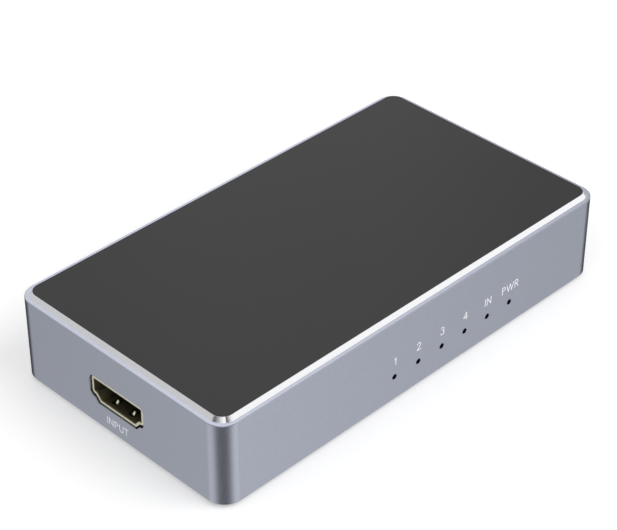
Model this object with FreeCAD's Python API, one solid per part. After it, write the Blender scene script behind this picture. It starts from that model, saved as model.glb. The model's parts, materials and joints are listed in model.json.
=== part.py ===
import FreeCAD, Part
import math
import os

# A box that copies one video input to four outputs. Millimetres, +Z up.
# The origin is on the table under the middle of the case. The row of indicator
# lamps faces -Y, the input socket -X, the outputs and the power jack +Y.

# Case
case_length = 112.0
case_width = 61.0
wall_height = 19.7
wall = 1.6
corner_radius = 4.35
least_radius = 0.3
deck_thickness = 1.2
rim_width = 1.06
bevel_run = 0.62
bevel_rise = 0.95
bevel_land = 0.06
panel_gap = 0.03
adhesive_thickness = 0.15
adhesive_inset = 0.6

# Bottom cover, its screws and feet
cover_thickness = 1.8
rebate_step = 0.6
cover_gap = 0.15
lip_thickness = 1.0
lip_height = 1.2
rib_thickness = 1.2
rib_height = 0.9
rib_pitch = 18.0
foot_radius = 4.0
foot_thickness = 1.0
foot_end_inset = 16.0
foot_side_inset = 10.5

# Screw posts
post_inset = 6.4
post_width = 4.8
web_thickness = 1.2
screw_radius = 1.25
screw_length = 10.0
screw_head_radius = 2.25
screw_head_height = 1.4
screw_gap = 0.03
screw_way_gap = 0.15
head_sink = 0.15
pilot_spare = 0.6

# Main board
board_thickness = 1.6
board_under_socket = 0.585
board_edge_gap = 0.35
board_slide = 1.65
leg_slot_gap = 0.15

# Video sockets
socket_width = 15.0
socket_height = 5.55
socket_sheet = 0.5
socket_depth = 11.2
socket_step_height = 1.65
socket_step_width = 12.6
socket_step_drop = 0.3
socket_foot_width = 11.2
socket_corner = 0.5
socket_mid_height = 8.61
lip_flare = 0.25
lip_length = 0.6
mouth_recess = 0.3
cutout_gap = 0.2
finger_width = 1.6
finger_tip = 1.0
finger_crest = 2.05
finger_root = 5.6
finger_slot = 0.35
finger_sheet = 0.28
finger_lift = 0.32
finger_dip = 0.14
finger_offset = 2.5
leg_width = 1.2
leg_first = 3.2
leg_second = 9.2
leg_below_board = 0.5
tongue_width = 11.4
tongue_thickness = 1.1
tongue_tip = 2.0
tongue_above_middle = 0.35
core_front = 7.9
core_tail = 0.8
core_gap = 0.04
core_foot_width = 12.0
contact_width = 0.3
contact_thickness = 0.15
contact_pitch = 1.0
contact_setback = 0.3
contact_gap = 0.05
upper_contacts = 10
lower_contacts = 9
output_count = 4
output_end_inset = 17.5
input_sideways = 0.25

# Power jack
jack_width = 9.0
jack_height = 11.0
jack_flange = 3.2
jack_depth = 11.6
jack_flange_step = 0.4
jack_bore_radius = 3.15
jack_bore_depth = 10.0
jack_axis_height = 6.5
jack_wall_gap = 0.2
jack_hole_radius = 3.8
jack_end_inset = 15.5
jack_pin_radius = 1.0
jack_pin_setback = 0.9
jack_pin_nose = 0.5
jack_pin_gap = 0.02
jack_shank_width = 2.4
jack_shank_front = 0.4
jack_tab_width = 2.4
jack_tab_thickness = 0.4
jack_spring_width = 2.6
jack_spring_lift = 0.35
jack_spring_front = 2.2

# Indicator lamps
lamp_count = 6
lamp_pitch = 7.15
lamp_first_x = -8.4
lamp_height = 5.76
lamp_hole_radius = 0.65
lamp_width = 1.6
lamp_depth = 1.0
lamp_body_height = 1.0
lamp_setback = 0.15
guard_window = 1.6
guard_height = 2.3
guard_drop = 1.6
guard_cover_depth = 2.2
guard_end = 2.4
guard_gap = 0.05
lamp_pocket_gap = 0.25

# Parts on the board
splitter_size = 10.0
splitter_height = 0.9
splitter_y = -2.0
pad_size = 9.0
pad_thickness = 0.4
sink_size = 18.0
sink_base = 1.5
sink_fin_height = 5.0
sink_fin_thickness = 1.0
sink_fin_count = 7
flat_chip_size = 5.0
flat_chip_height = 0.85
chip_corner = 0.6
leaded_length = 4.9
leaded_width = 3.9
leaded_height = 1.5
leaded_stand_off = 0.1
lead_count = 4
lead_pitch = 1.27
lead_width = 0.4
lead_thickness = 0.3
lead_reach = 1.05
coil_size = 7.0
coil_height = 4.0
coil_corner = 1.5
can_radius = 3.15
can_height = 5.4
can_base_size = 6.6
can_base_height = 0.8
block_cap_length = 7.3
block_cap_width = 4.3
block_cap_height = 2.8
block_cap_foot_height = 0.9
block_cap_foot_width = 2.4
block_cap_foot_reach = 0.15
crystal_length = 5.0
crystal_width = 3.2
crystal_height = 1.2
crystal_flange = 0.2
crystal_base_height = 0.7
array_length = 2.5
array_width = 1.0
array_height = 0.55
array_offset = 3.2
array_gap = 2.4
small_length = 1.6
small_width = 0.8
small_cap_height = 0.8
small_resistor_height = 0.45
small_caps_per_side = 4
small_cap_pitch = 4.2
small_gap = 1.6

# Levels, from the table up
edge_z = foot_thickness
rim_z = edge_z + wall_height
top_z = rim_z + bevel_rise
deck_z = rim_z - deck_thickness
cover_top_z = edge_z + cover_thickness
screw_low_z = edge_z + head_sink
screw_seat_z = screw_low_z + screw_head_height
screw_top_z = screw_seat_z + screw_length
socket_z = edge_z + socket_mid_height
board_top_z = socket_z - socket_height / 2 - board_under_socket
board_bottom_z = board_top_z - board_thickness
lamp_z = edge_z + lamp_height

# Faces and places in plan
half_length = case_length / 2
half_width = case_width / 2
inner_x = half_length - wall
inner_y = half_width - wall
post_x = half_length - post_inset
post_y = half_width - post_inset
board_left = -inner_x + board_edge_gap
board_right = inner_x - board_edge_gap - board_slide
board_back = inner_y - board_edge_gap
board_front = -inner_y + board_edge_gap + board_slide
jack_x = half_length - jack_end_inset
jack_face_y = inner_y - jack_wall_gap
output_left_x = output_end_inset - half_length
output_pitch = (jack_x - output_left_x) / output_count
lamp_last_x = lamp_first_x + lamp_pitch * (lamp_count - 1)
pocket_inset = rim_width + bevel_run + bevel_land
post_places = [(sx * post_x, sy * post_y) for sx in (-1, 1) for sy in (-1, 1)]
lamp_places = [lamp_first_x + lamp_pitch * i for i in range(lamp_count)]
output_places = [output_left_x + output_pitch * i for i in range(output_count)]
leg_places = [(side, start) for side in (-1, 1) for start in (leg_first, leg_second)]

UP = FreeCAD.Vector(0, 0, 1)
ORIGIN = FreeCAD.Vector(0, 0, 0)


def point(x, y, z):
    return FreeCAD.Vector(x, y, z)


def block(x0, x1, y0, y1, z0, z1):
    """Upright box between two values on each axis."""
    return Part.makeBox(x1 - x0, y1 - y0, z1 - z0, point(x0, y0, z0))


def post(radius, z0, z1, x=0.0, y=0.0):
    """Upright round bar."""
    return Part.makeCylinder(radius, z1 - z0, point(x, y, z0))


def bar_along_y(radius, y0, y1, x, z):
    """Round bar that runs towards the back."""
    return Part.makeCylinder(radius, y1 - y0, point(x, y0, z), point(0, 1, 0))


def rounded_wire(corners, lift):
    """Closed outline through corners (a, b, radius); lift turns (a, b) into a point."""
    flat = [FreeCAD.Vector(a, b, 0) for a, b, _ in corners]
    count = len(corners)
    starts, ends, bends = [], [], []
    for i, (_, _, radius) in enumerate(corners):
        here = flat[i]
        back = (flat[i - 1] - here).normalize()
        ahead = (flat[(i + 1) % count] - here).normalize()
        half_turn = back.getAngle(ahead) / 2
        reach = radius / math.tan(half_turn)
        middle = here + (back + ahead).normalize() * (radius / math.sin(half_turn) - radius)
        starts.append(here + back * reach)
        ends.append(here + ahead * reach)
        bends.append(middle)
    edges = []
    for i, (_, _, radius) in enumerate(corners):
        if radius > 0:
            three = [lift(p.x, p.y) for p in (starts[i], bends[i], ends[i])]
            edges.append(Part.Arc(*three).toShape())
        a, b = ends[i], starts[(i + 1) % count]
        edges.append(Part.LineSegment(lift(a.x, a.y), lift(b.x, b.y)).toShape())
    return Part.Wire(edges)


def rectangle(x0, x1, y0, y1, radius, z):
    """Rounded rectangle lying at one level."""
    corners = [(x0, y0, radius), (x1, y0, radius), (x1, y1, radius), (x0, y1, radius)]
    return rounded_wire(corners, lambda a, b: point(a, b, z))


def slab(wire, height):
    """Solid raised from a lying outline."""
    return Part.Face(wire).extrude(point(0, 0, height))


def outline(inset, z):
    """The case's own outline, moved inwards."""
    x = half_length - inset
    y = half_width - inset
    return rectangle(-x, x, -y, y, max(corner_radius - inset, least_radius), z)


def clipped_plate(x0, x1, y0, y1, clip, z, thickness):
    """Flat plate with its four corners cut off straight."""
    ring = [(x0 + clip, y0), (x1 - clip, y0), (x1, y0 + clip), (x1, y1 - clip),
            (x1 - clip, y1), (x0 + clip, y1), (x0, y1 - clip), (x0, y0 + clip)]
    corners = [point(x, y, z) for x, y in ring]
    return slab(Part.makePolygon(corners + corners[:1]), thickness)


def to_back(shape, x, y):
    """Turn a piece built with its mouth at the origin so that it faces +Y."""
    return shape.rotated(ORIGIN, UP, 180).translated(point(x, y, 0))


def to_left(shape, x, y):
    """Turn a piece built with its mouth at the origin so that it faces -X."""
    return shape.rotated(ORIGIN, UP, -90).translated(point(x, y, 0))


# Socket outline and shell

def socket_outline(radius, y):
    """Upright outline of the socket, wide side up, with a step down to its narrow foot."""
    side = socket_width / 2
    step = socket_step_width / 2
    foot = socket_foot_width / 2
    low = socket_z - socket_height / 2
    high = socket_z + socket_height / 2
    step_z = low + socket_step_height
    right = [
        (foot, low, radius),
        (step, step_z - socket_step_drop, 0),
        (side, step_z, radius),
        (side, high, radius),
    ]
    left = [(-a, b, r) for a, b, r in reversed(right)]
    return rounded_wire(right + left, lambda a, b: point(a, y, b))


def socket_bar(grow, y0, y1, radius=0.0):
    """The socket outline, grown or shrunk, drawn out along its depth."""
    wire = socket_outline(radius, y0)
    if grow != 0:
        wire = wire.makeOffset2D(grow, join=2)
    return Part.Face(wire).extrude(point(0, y1 - y0, 0))


def spring_finger(x):
    """Sprung tongue cut in the shell's floor, with its crest standing into the mouth."""
    low = socket_z - socket_height / 2
    floor = low + socket_sheet
    profile = [
        (finger_root, low),
        (finger_root, low + finger_sheet),
        (finger_crest, floor + finger_lift),
        (finger_tip, floor - finger_dip),
        (finger_tip, floor - finger_dip - finger_sheet),
        (finger_crest, floor + finger_lift - finger_sheet),
    ]
    ring = [point(x - finger_width / 2, a, b) for a, b in profile]
    return Part.Face(Part.makePolygon(ring + ring[:1])).extrude(point(finger_width, 0, 0))


def socket_shell():
    """Formed sheet shell with a flared lip, two sprung fingers in its floor and four legs."""
    shell = socket_bar(0, 0, socket_depth)
    shell = shell.fuse(socket_bar(lip_flare, 0, lip_length, socket_corner))
    shell = shell.cut(socket_bar(-socket_sheet, 0, socket_depth))
    low = socket_z - socket_height / 2
    side = socket_width / 2
    fingers = []
    for x in (-finger_offset, finger_offset):
        reach = finger_width / 2 + finger_slot
        y0 = finger_tip - finger_slot
        shell = shell.cut(block(x - reach, x + reach, y0, finger_root, low, low + socket_sheet))
        fingers.append(spring_finger(x))
    legs = []
    for hand, start in leg_places:
        inner, outer = sorted((hand * (side - socket_sheet), hand * side))
        top = socket_z
        legs.append(block(inner, outer, start, start + leg_width, board_bottom_z - leg_below_board, top))
    return shell.fuse(fingers + legs).removeSplitter()


def socket_core():
    """Moulded core: a tongue that carries the contacts and a block that closes the shell."""
    rear = socket_depth + core_tail
    tongue_z = socket_z + tongue_above_middle
    low = tongue_z - tongue_thickness / 2
    high = tongue_z + tongue_thickness / 2
    half = tongue_width / 2
    core = socket_bar(-socket_sheet - core_gap, core_front, rear)
    foot_half = core_foot_width / 2
    foot = block(-foot_half, foot_half, socket_depth + core_gap, rear, board_top_z, socket_z)
    tongue = block(-half, half, tongue_tip, rear, low, high)
    core = core.fuse([foot, tongue]).removeSplitter()
    row = (upper_contacts - 1) * contact_pitch / 2 + contact_width
    for z0, z1 in ((high, high + contact_thickness), (low - contact_thickness, low)):
        core = core.cut(block(-row, row, core_front, rear, z0, z1))
    return core


def contact_row(count, z0):
    """One row of flat contacts along the tongue, bent down behind the core onto the board."""
    rear = socket_depth + core_tail + contact_gap
    back = rear + contact_thickness
    tip = tongue_tip + contact_setback
    strip = [
        (tip, z0),
        (tip, z0 + contact_thickness),
        (back, z0 + contact_thickness),
        (back, board_top_z),
        (rear, board_top_z),
        (rear, z0),
    ]
    row = []
    for i in range(count):
        x = (i - (count - 1) / 2) * contact_pitch - contact_width / 2
        ring = [point(x, a, b) for a, b in strip]
        row.append(Part.Face(Part.makePolygon(ring + ring[:1])).extrude(point(contact_width, 0, 0)))
    return row


def socket_contacts():
    """Both rows of contacts of one socket."""
    tongue_z = socket_z + tongue_above_middle
    upper = contact_row(upper_contacts, tongue_z + tongue_thickness / 2)
    lower = contact_row(lower_contacts, tongue_z - tongue_thickness / 2 - contact_thickness)
    return Part.makeCompound(upper + lower)


def leg_slots():
    """Slots in the board for one socket's legs."""
    side = socket_width / 2
    slots = []
    for hand, start in leg_places:
        inner, outer = sorted((hand * (side - socket_sheet), hand * side))
        slots.append(block(inner - leg_slot_gap, outer + leg_slot_gap, start - leg_slot_gap,
                           start + leg_width + leg_slot_gap, board_bottom_z, board_top_z))
    return Part.makeCompound(slots)


# Power jack

def jack_body():
    """Moulded jack: tall flange, a lower body behind it, and a window for the spring."""
    axis_z = board_top_z + jack_axis_height
    half = jack_width / 2
    rear = half - jack_flange_step
    body = block(-half, half, 0, jack_flange, board_top_z, board_top_z + jack_height)
    body = body.fuse(block(-rear, rear, 0, jack_depth, board_top_z, axis_z + rear)).removeSplitter()
    body = body.cut(bar_along_y(jack_bore_radius, 0, jack_bore_depth, 0, axis_z))
    hole = jack_shank_width / 2 + jack_pin_gap
    body = body.cut(block(-hole, hole, jack_bore_depth, jack_depth, axis_z - hole, axis_z + hole))
    window = jack_spring_width / 2 + jack_spring_lift
    return body.cut(block(-window, window, jack_spring_front, jack_bore_depth, board_top_z, axis_z))


def jack_pin():
    """Centre pin with a bevelled nose, a square shank in the rear wall and a tab down through the board."""
    axis_z = board_top_z + jack_axis_height
    shank_y = jack_bore_depth - jack_shank_front
    pin = bar_along_y(jack_pin_radius, jack_pin_setback, shank_y, 0, axis_z)
    nose = [e for e in pin.Edges if e.BoundBox.YMax < shank_y / 2]
    pin = pin.makeChamfer(jack_pin_nose, nose)
    half = jack_shank_width / 2
    shank = block(-half, half, shank_y, jack_depth, axis_z - half, axis_z + half)
    low = board_bottom_z - leg_below_board
    side = jack_tab_width / 2
    tab = block(-side, side, jack_depth, jack_depth + jack_tab_thickness, low, axis_z + half)
    return pin.fuse([shank, tab]).removeSplitter()


def jack_spring():
    """Leaf that presses on a plug's sleeve from below, with its foot through the board."""
    axis_z = board_top_z + jack_axis_height
    bore_low = axis_z - jack_bore_radius
    sheet = jack_tab_thickness
    front = jack_spring_front + jack_spring_lift
    rear = jack_bore_depth - jack_spring_lift
    leaf = [
        (rear, board_bottom_z - leg_below_board),
        (rear, bore_low),
        ((front + rear) / 2, bore_low + jack_spring_lift),
        (front, bore_low - jack_spring_lift),
        (front, bore_low - jack_spring_lift - sheet),
        ((front + rear) / 2, bore_low + jack_spring_lift - sheet),
        (rear - sheet, bore_low - sheet),
        (rear - sheet, board_bottom_z - leg_below_board),
    ]
    half = jack_spring_width / 2
    ring = [point(-half, a, b) for a, b in leaf]
    return Part.Face(Part.makePolygon(ring + ring[:1])).extrude(point(jack_spring_width, 0, 0))


def jack_slots():
    """Slots in the board for the jack's two tabs."""
    tab = jack_tab_width / 2 + leg_slot_gap
    leaf = jack_spring_width / 2 + leg_slot_gap
    rear = jack_bore_depth - jack_spring_lift
    pin_slot = block(-tab, tab, jack_depth - leg_slot_gap, jack_depth + jack_tab_thickness + leg_slot_gap,
                     board_bottom_z, board_top_z)
    leaf_slot = block(-leaf, leaf, rear - jack_tab_thickness - leg_slot_gap, rear + leg_slot_gap,
                      board_bottom_z, board_top_z)
    return Part.makeCompound([pin_slot, leaf_slot])


# Case

def screw_posts():
    """Four square posts under the deck, each tied to the two walls of its corner by webs."""
    pieces = []
    half = post_width / 2
    half_web = web_thickness / 2
    for x, y in post_places:
        pieces.append(block(x - half, x + half, y - half, y + half, board_top_z, deck_z))
        x0, x1 = sorted((x, math.copysign(inner_x, x)))
        y0, y1 = sorted((y, math.copysign(inner_y, y)))
        pieces.append(block(x0, x1, y - half_web, y + half_web, board_top_z, deck_z))
        pieces.append(block(x - half_web, x + half_web, y0, y1, board_top_z, deck_z))
    return pieces


def housing_frame():
    """One-piece metal housing: four walls, rim, bevelled bezel, deck, posts and cut-outs."""
    walls = slab(outline(0, edge_z), wall_height)
    bezel = Part.makeLoft([outline(rim_width, rim_z), outline(rim_width + bevel_run, top_z)], True, True)
    housing = walls.fuse(bezel)
    housing = housing.cut(slab(outline(pocket_inset, rim_z), bevel_rise))
    housing = housing.cut(slab(outline(wall, edge_z), deck_z - edge_z))
    housing = housing.cut(slab(outline(wall - rebate_step, edge_z), cover_thickness))
    housing = housing.fuse(screw_posts()).removeSplitter()
    pilot_end = screw_top_z + pilot_spare
    cuts = [post(screw_radius + screw_gap, board_top_z, pilot_end, x, y) for x, y in post_places]
    cutout = socket_bar(lip_flare + cutout_gap, -wall, 2 * wall)
    cuts.append(to_left(cutout, -half_length, input_sideways))
    cuts.extend(to_back(cutout, x, half_width) for x in output_places)
    cuts.append(bar_along_y(jack_hole_radius, inner_y - wall, half_width + wall, jack_x,
                            board_top_z + jack_axis_height))
    cuts.extend(bar_along_y(lamp_hole_radius, -half_width, -inner_y, x, lamp_z) for x in lamp_places)
    return housing.cut(cuts)


def top_panel():
    """Flat glossy panel that fills the bezel."""
    level = rim_z + adhesive_thickness
    return slab(outline(pocket_inset + panel_gap, level), top_z - level)


def panel_adhesive():
    """Film that holds the panel down on the deck."""
    inset = pocket_inset + adhesive_inset
    x = half_length - inset
    y = half_width - inset
    clip = max(corner_radius - inset, least_radius)
    return clipped_plate(-x, x, -y, y, clip, rim_z, adhesive_thickness)


def cover_ribs(level):
    """Low ribs across the inside of the cover, clear of the screw bosses."""
    reach_x = post_x - post_width / 2
    reach_y = post_y - post_width / 2
    count = int((reach_x - rib_thickness) / rib_pitch)
    half = rib_thickness / 2
    places = [rib_pitch * i for i in range(-count, count + 1)]
    ribs = [block(x - half, x + half, -reach_y, reach_y, level, level + rib_height) for x in places]
    ribs.append(block(-reach_x, reach_x, -half, half, level, level + rib_height))
    return ribs


def cover_lip(level):
    """Four straight lips that stand just inside the walls, between the screw bosses."""
    out_x = inner_x - cover_gap
    out_y = inner_y - cover_gap
    reach_x = post_x - post_width / 2
    reach_y = post_y - post_width / 2
    lips = []
    for hand in (-1, 1):
        x0, x1 = sorted((hand * out_x, hand * (out_x - lip_thickness)))
        y0, y1 = sorted((hand * out_y, hand * (out_y - lip_thickness)))
        lips.append(block(x0, x1, -reach_y, reach_y, level, level + lip_height))
        lips.append(block(-reach_x, reach_x, y0, y1, level, level + lip_height))
    return lips


def foot_places():
    """Centres of the four feet."""
    x = half_length - foot_end_inset
    y = half_width - foot_side_inset
    return {"front_left": (-x, -y), "front_right": (x, -y), "back_left": (-x, y), "back_right": (x, y)}


def bottom_cover():
    """Moulded tray that closes the housing and clamps the board under the posts."""
    inset = wall - rebate_step + cover_gap
    half = post_width / 2
    cover = slab(outline(inset, edge_z), cover_thickness)
    bosses = [block(x - half, x + half, y - half, y + half, cover_top_z, board_bottom_z)
              for x, y in post_places]
    cover = cover.fuse(cover_lip(cover_top_z) + cover_ribs(cover_top_z) + bosses).removeSplitter()
    cuts = []
    for x, y in post_places:
        cuts.append(post(screw_head_radius + screw_way_gap, edge_z, screw_seat_z, x, y))
        cuts.append(post(screw_radius + screw_way_gap, screw_seat_z, board_bottom_z, x, y))
    return cover.cut(cuts)


def cover_screw(x, y):
    """Round-head screw driven from below, its head sunk in the cover."""
    head = post(screw_head_radius, screw_low_z, screw_seat_z, x, y)
    return head.fuse(post(screw_radius, screw_seat_z, screw_top_z, x, y)).removeSplitter()


def rubber_foot(x, y):
    """Round foot stuck to the flat underside of the cover."""
    return post(foot_radius, 0, foot_thickness, x, y)


def screw_notch(x, y):
    """Slot that lets the board slide past a screw, open to the board's end."""
    reach = screw_radius + screw_way_gap
    x0, x1 = sorted((x - math.copysign(reach, x), math.copysign(half_length, x)))
    return block(x0, x1, y - reach, y + reach, board_bottom_z, board_top_z)


def main_board():
    """Board with a notch for each cover screw and the slots for every leg and tab."""
    clip = max(corner_radius - wall - board_edge_gap, least_radius)
    board = clipped_plate(board_left, board_right, board_front, board_back, clip, board_bottom_z,
                          board_thickness)
    cuts = [screw_notch(x, y) for x, y in post_places]
    cuts.append(to_left(leg_slots(), mouth_recess - half_length, input_sideways))
    cuts.extend(to_back(leg_slots(), x, half_width - mouth_recess) for x in output_places)
    cuts.append(to_back(jack_slots(), jack_x, jack_face_y))
    return board.cut(cuts)


# Indicator lamps and their light guard

def lamp(x):
    """Side-firing lamp at the board's front edge."""
    half = lamp_width / 2
    front = board_front + lamp_setback
    return block(x - half, x + half, front, front + lamp_depth, board_top_z, lamp_z + lamp_body_height / 2)


def light_guard():
    """Soft black strip that keeps each lamp's light to its own hole."""
    x0 = lamp_first_x - guard_end
    x1 = lamp_last_x + guard_end
    top = board_top_z + guard_height
    wall_side = -inner_y + guard_gap
    board_side = board_front - guard_gap
    guard = block(x0, x1, wall_side, board_side, board_top_z - guard_drop, top)
    over = block(x0, x1, board_side, board_front + guard_cover_depth, board_top_z, top)
    guard = guard.fuse(over).removeSplitter()
    window = guard_window / 2
    half = lamp_width / 2 + lamp_pocket_gap
    pocket_top = lamp_z + lamp_body_height / 2 + lamp_pocket_gap
    pocket_back = board_front + lamp_setback + lamp_depth + lamp_pocket_gap
    cuts = []
    for x in lamp_places:
        cuts.append(block(x - half, x + half, board_side, pocket_back, board_top_z, pocket_top))
        cuts.append(block(x - window, x + window, wall_side, board_side, lamp_z - window, lamp_z + window))
    return guard.cut(cuts)


# Parts on the board

def flat_chip(size, height, x, y):
    """Leadless chip with its first corner cut off."""
    half = size / 2
    chip = block(x - half, x + half, y - half, y + half, board_top_z, board_top_z + height)
    upright = [e for e in chip.Edges if e.BoundBox.ZLength > height / 2]
    corner = [e for e in upright if e.BoundBox.XMax < x and e.BoundBox.YMax < y]
    return chip.makeChamfer(chip_corner, corner)


def heat_sink():
    """Finned block on the splitter chip's pad."""
    z0 = board_top_z + splitter_height + pad_thickness
    half = sink_size / 2
    sink = block(-half, half, splitter_y - half, splitter_y + half, z0, z0 + sink_base)
    step = (sink_size - sink_fin_thickness) / (sink_fin_count - 1)
    fins = []
    for i in range(sink_fin_count):
        x = -half + step * i
        fins.append(block(x, x + sink_fin_thickness, splitter_y - half, splitter_y + half,
                          z0 + sink_base, z0 + sink_base + sink_fin_height))
    return sink.fuse(fins).removeSplitter()


def thermal_pad():
    """Soft pad between the splitter chip and its heat sink."""
    half = pad_size / 2
    z0 = board_top_z + splitter_height
    return block(-half, half, splitter_y - half, splitter_y + half, z0, z0 + pad_thickness)


def leaded_chip(x, y):
    """Eight-leg chip with slanting legs along two sides."""
    z0 = board_top_z + leaded_stand_off
    body = block(x - leaded_length / 2, x + leaded_length / 2, y - leaded_width / 2, y + leaded_width / 2,
                 z0, z0 + leaded_height)
    middle = z0 + leaded_height / 2
    side = leaded_width / 2
    bend = [
        (side, middle),
        (side, middle - lead_thickness),
        (side + lead_reach - lead_thickness, board_top_z),
        (side + lead_reach, board_top_z),
    ]
    legs = []
    for hand in (-1, 1):
        for i in range(lead_count):
            x0 = x + (i - (lead_count - 1) / 2) * lead_pitch - lead_width / 2
            ring = [point(x0, y + hand * a, b) for a, b in bend]
            legs.append(Part.Face(Part.makePolygon(ring + ring[:1])).extrude(point(lead_width, 0, 0)))
    return body.fuse(legs).removeSplitter()


def power_coil(x, y):
    """Shielded choke: a ferrite block with its upright corners cut off."""
    half = coil_size / 2
    coil = block(x - half, x + half, y - half, y + half, board_top_z, board_top_z + coil_height)
    upright = [e for e in coil.Edges if e.BoundBox.ZLength > coil_height / 2]
    return coil.makeChamfer(coil_corner, upright)


def can_capacitor(x, y):
    """Electrolytic can on its square moulded base."""
    half = can_base_size / 2
    foot = board_top_z + can_base_height
    base = block(x - half, x + half, y - half, y + half, board_top_z, foot)
    return base.fuse(post(can_radius, foot, board_top_z + can_height, x, y)).removeSplitter()


def block_capacitor(x, y):
    """Moulded capacitor with a folded terminal under and up each end."""
    half_x = block_cap_width / 2
    half_y = block_cap_length / 2
    cap = block(x - half_x, x + half_x, y - half_y, y + half_y, board_top_z, board_top_z + block_cap_height)
    side = block_cap_foot_width / 2
    reach = half_y + block_cap_foot_reach
    feet = block(x - side, x + side, y - reach, y + reach, board_top_z, board_top_z + block_cap_foot_height)
    return cap.fuse(feet).removeSplitter()


def crystal_can(x, y):
    """Low oscillator can: a metal lid on a slightly larger ceramic base."""
    half_x = crystal_width / 2
    half_y = crystal_length / 2
    lid_x = half_x - crystal_flange
    lid_y = half_y - crystal_flange
    seam = board_top_z + crystal_base_height
    base = block(x - half_x, x + half_x, y - half_y, y + half_y, board_top_z, seam)
    lid = block(x - lid_x, x + lid_x, y - lid_y, y + lid_y, seam, board_top_z + crystal_height)
    return base.fuse(lid).removeSplitter()


def surge_arrays():
    """Two small protection chips behind each socket's contact tails."""
    start = socket_depth + core_tail + contact_gap + contact_thickness + array_gap
    pair = [block(hand * array_offset - array_length / 2, hand * array_offset + array_length / 2,
                  start, start + array_width, board_top_z, board_top_z + array_height) for hand in (-1, 1)]
    both = Part.makeCompound(pair)
    groups = [to_left(both, mouth_recess - half_length, input_sideways)]
    groups.extend(to_back(both, x, half_width - mouth_recess) for x in output_places)
    return Part.makeCompound([solid for group in groups for solid in group.Solids])


def small_part(x, y, height, along_x=True):
    """One ceramic chip part."""
    half_x = (small_length if along_x else small_width) / 2
    half_y = (small_width if along_x else small_length) / 2
    return block(x - half_x, x + half_x, y - half_y, y + half_y, board_top_z, board_top_z + height)


def small_capacitors():
    """Ceramic capacitors round the four sides of the heat sink."""
    reach = sink_size / 2 + small_gap
    parts = []
    for i in range(small_caps_per_side):
        slide = (i - (small_caps_per_side - 1) / 2) * small_cap_pitch
        for hand in (-1, 1):
            parts.append(small_part(slide, splitter_y + hand * reach, small_cap_height, False))
            parts.append(small_part(hand * reach, splitter_y + slide, small_cap_height, True))
    return Part.makeCompound(parts)


def small_resistors():
    """One series resistor behind each indicator lamp."""
    y = board_front + guard_cover_depth + small_gap
    return Part.makeCompound([small_part(x, y, small_resistor_height, False) for x in lamp_places])


def board_parts():
    """Everything soldered to the board apart from sockets, jack and lamps."""
    jack_rear_y = jack_face_y - jack_depth - jack_tab_thickness
    coil_y = jack_rear_y - small_gap - coil_size / 2
    can_y = coil_y - coil_size / 2 - small_gap - can_base_size / 2
    side_x = sink_size / 2 + 2 * small_gap + small_length
    regulator_x = jack_x - coil_size / 2 - small_gap - leaded_length / 2
    block_cap_x = jack_x - can_base_size / 2 - small_gap - block_cap_width / 2
    crystal_x = -side_x - crystal_width / 2
    logic_x = crystal_x - crystal_width / 2 - small_gap - flat_chip_size / 2
    logic_y = splitter_y + small_gap
    return {
        "splitter_chip": flat_chip(splitter_size, splitter_height, 0, splitter_y),
        "thermal_pad": thermal_pad(),
        "heat_sink": heat_sink(),
        "control_chip": flat_chip(flat_chip_size, flat_chip_height, logic_x, logic_y - flat_chip_size),
        "memory_chip": leaded_chip(logic_x, logic_y + flat_chip_size),
        "regulator_chip": leaded_chip(regulator_x, coil_y),
        "power_coil": power_coil(jack_x, coil_y),
        "input_capacitor": can_capacitor(jack_x, can_y),
        "output_capacitor": block_capacitor(block_cap_x, can_y),
        "crystal_can": crystal_can(crystal_x, splitter_y),
        "surge_arrays": surge_arrays(),
        "small_capacitors": small_capacitors(),
        "small_resistors": small_resistors(),
    }


def sockets():
    """Shell, core and contacts of the input and of each output."""
    shell, core, contacts = socket_shell(), socket_core(), socket_contacts()
    nodes = {}
    for name, piece in (("shell", shell), ("core", core), ("contacts", contacts)):
        nodes["input_" + name] = to_left(piece, mouth_recess - half_length, input_sideways)
        for i, x in enumerate(reversed(output_places)):
            nodes["output_%d_%s" % (i + 1, name)] = to_back(piece, x, half_width - mouth_recess)
    return nodes


def all_nodes():
    """Every piece under its own name."""
    nodes = {
        "housing_frame": housing_frame(),
        "top_panel": top_panel(),
        "panel_adhesive": panel_adhesive(),
        "bottom_cover": bottom_cover(),
        "cover_screws": Part.makeCompound([cover_screw(x, y) for x, y in post_places]),
        "main_board": main_board(),
        "jack_body": to_back(jack_body(), jack_x, jack_face_y),
        "jack_pin": to_back(jack_pin(), jack_x, jack_face_y),
        "jack_spring": to_back(jack_spring(), jack_x, jack_face_y),
        "light_guard": light_guard(),
    }
    for name, (x, y) in foot_places().items():
        nodes["foot_" + name] = rubber_foot(x, y)
    lamp_names = ["output_1", "output_2", "output_3", "output_4", "input", "power"]
    for name, x in zip(lamp_names, lamp_places):
        nodes["lamp_" + name] = lamp(x)
    nodes.update(sockets())
    nodes.update(board_parts())
    return nodes


os.makedirs("parts", exist_ok=True)
for node, shape in all_nodes().items():
    shape.exportStep("parts/" + node + ".step")
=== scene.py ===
import json
import math

import bmesh
import bpy
from mathutils import Matrix, Vector


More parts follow.
